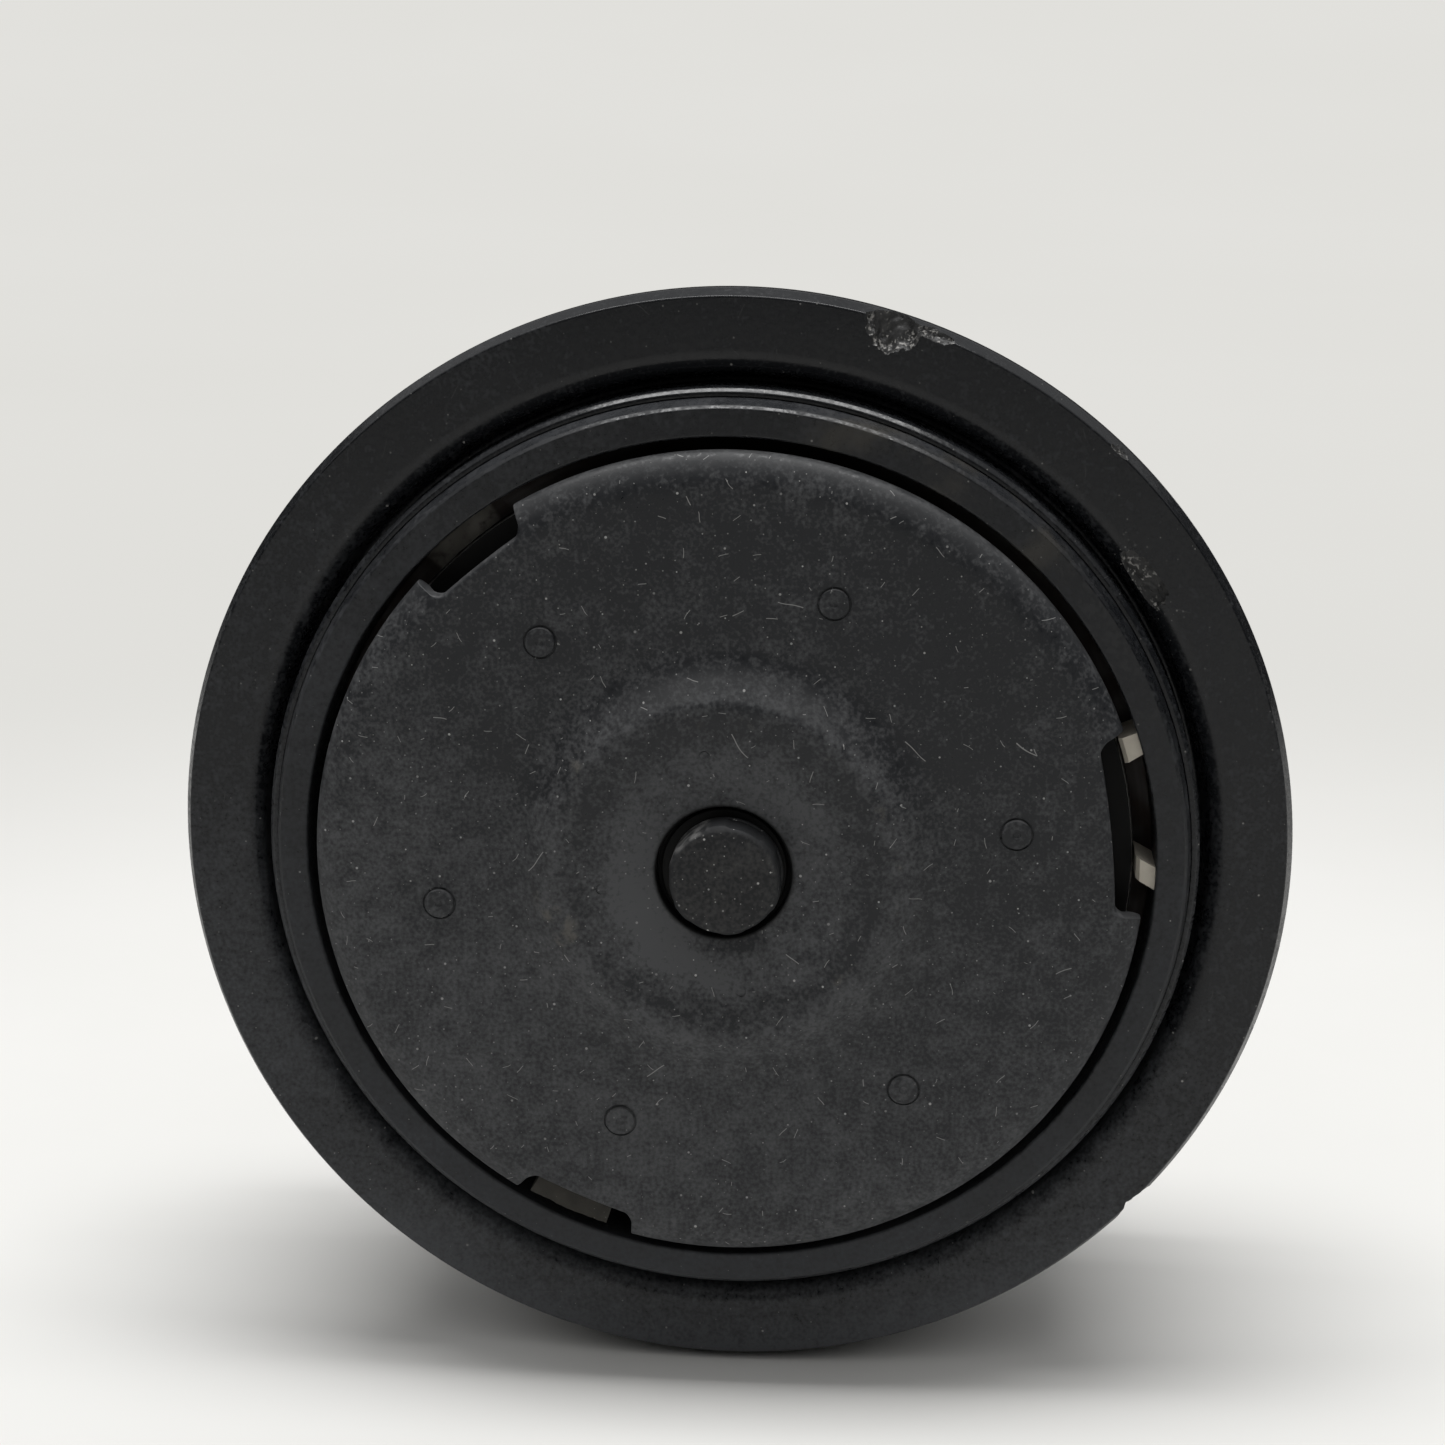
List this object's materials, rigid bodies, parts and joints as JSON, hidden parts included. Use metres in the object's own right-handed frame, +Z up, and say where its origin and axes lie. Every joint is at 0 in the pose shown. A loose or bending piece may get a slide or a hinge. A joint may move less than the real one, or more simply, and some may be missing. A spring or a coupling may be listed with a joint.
{
  "type": "electromagnetic clutch",
  "caption": "Electromagnetic clutch with a poly-V belt pulley, notched front cover, sprung armature, rotor on a ball bearing and a fixed coil, for driving a compressor shaft.",
  "frame": {"origin": "on the clutch's axis, in the plane of the coil mounting plate's rear face", "axes": "+Y along the axis towards the compressor, -Y towards the front cover, +Z up as in the picture, +X right"},
  "size_m": [0.1082, 0.0505, 0.1082],
  "materials": {
    "pulley_plastic": "black moulded phenolic, satin",
    "cover_plastic": "matte black moulded plastic, dusty",
    "rotor_steel": "black coated steel, satin",
    "bolt_steel": "black oxide steel",
    "dark_steel": "dark phosphated steel",
    "bearing_steel": "ground bearing steel",
    "zinc_steel": "zinc plated, dull",
    "spring_steel": "blued spring steel",
    "rivet_steel": "plain steel",
    "copper": "enamelled copper wire",
    "epoxy": "cast brown resin",
    "nylon": "natural nylon",
    "rubber": "matte black rubber",
    "brass": "plain brass"
  },
  "bodies": {
    "stator": {"coil_shell": "dark_steel", "coil_bobbin": "nylon", "coil_winding": "copper", "coil_potting": "epoxy", "coil_mounting_plate": "zinc_steel", "locating_pin": "rivet_steel", "coil_snap_ring": "spring_steel", "terminal_block": "pulley_plastic", "terminal_1": "brass", "terminal_2": "brass", "bearing_inner_ring": "bearing_steel", "nose_snap_ring": "spring_steel"},
    "rotor": {"rotor": "rotor_steel", "pulley_rim": "pulley_plastic", "bearing_outer_ring": "bearing_steel", "bearing_snap_ring": "spring_steel", "bearing_seal_front": "rubber", "bearing_seal_rear": "rubber"},
    "bearing_balls": {"bearing_cage": "nylon", "bearing_ball_front_1": "bearing_steel", "bearing_ball_front_2": "bearing_steel", "bearing_ball_front_3": "bearing_steel", "bearing_ball_front_4": "bearing_steel", "bearing_ball_front_5": "bearing_steel", "bearing_ball_front_6": "bearing_steel", "bearing_ball_front_7": "bearing_steel", "bearing_ball_front_8": "bearing_steel", "bearing_ball_rear_1": "bearing_steel", "bearing_ball_rear_2": "bearing_steel", "bearing_ball_rear_3": "bearing_steel", "bearing_ball_rear_4": "bearing_steel", "bearing_ball_rear_5": "bearing_steel", "bearing_ball_rear_6": "bearing_steel", "bearing_ball_rear_7": "bearing_steel", "bearing_ball_rear_8": "bearing_steel"},
    "hub": {"hub": "dark_steel", "front_cover": "cover_plastic", "centre_bolt": "bolt_steel", "bolt_washer": "dark_steel", "gap_shim": "brass", "hub_rivet_1": "rivet_steel", "hub_rivet_2": "rivet_steel", "hub_rivet_3": "rivet_steel", "stop_rubber_1": "rubber", "stop_rubber_2": "rubber", "stop_rubber_3": "rubber", "leaf_spring_1": "spring_steel", "leaf_spring_2": "spring_steel", "leaf_spring_3": "spring_steel"},
    "armature": {"armature_plate": "dark_steel", "armature_rivet_1": "rivet_steel", "armature_rivet_2": "rivet_steel", "armature_rivet_3": "rivet_steel"}
  },
  "joints": [
    {"name": "pulley_spin", "type": "hinge", "parent": "stator", "child": "rotor", "pos_m": [0, -0.019, 0], "axis": [0, 1, 0], "continuous": true},
    {"name": "ball_orbit", "type": "hinge", "parent": "stator", "child": "bearing_balls", "pos_m": [0, -0.019, 0], "axis": [0, 1, 0], "continuous": true},
    {"name": "hub_spin", "type": "hinge", "parent": "stator", "child": "hub", "pos_m": [0, -0.032, 0], "axis": [0, 1, 0], "continuous": true},
    {"name": "armature_pull", "type": "slide", "parent": "hub", "child": "armature", "axis": [0, 1, 0], "range_m": [0, 0.00045], "stiffness_N_per_m": 5000, "deforming": ["leaf_spring_1", "leaf_spring_2", "leaf_spring_3"]}
  ],
  "couplings": [
    {"joint": "ball_orbit", "follows": "pulley_spin", "ratio": 0.5644}
  ]
}
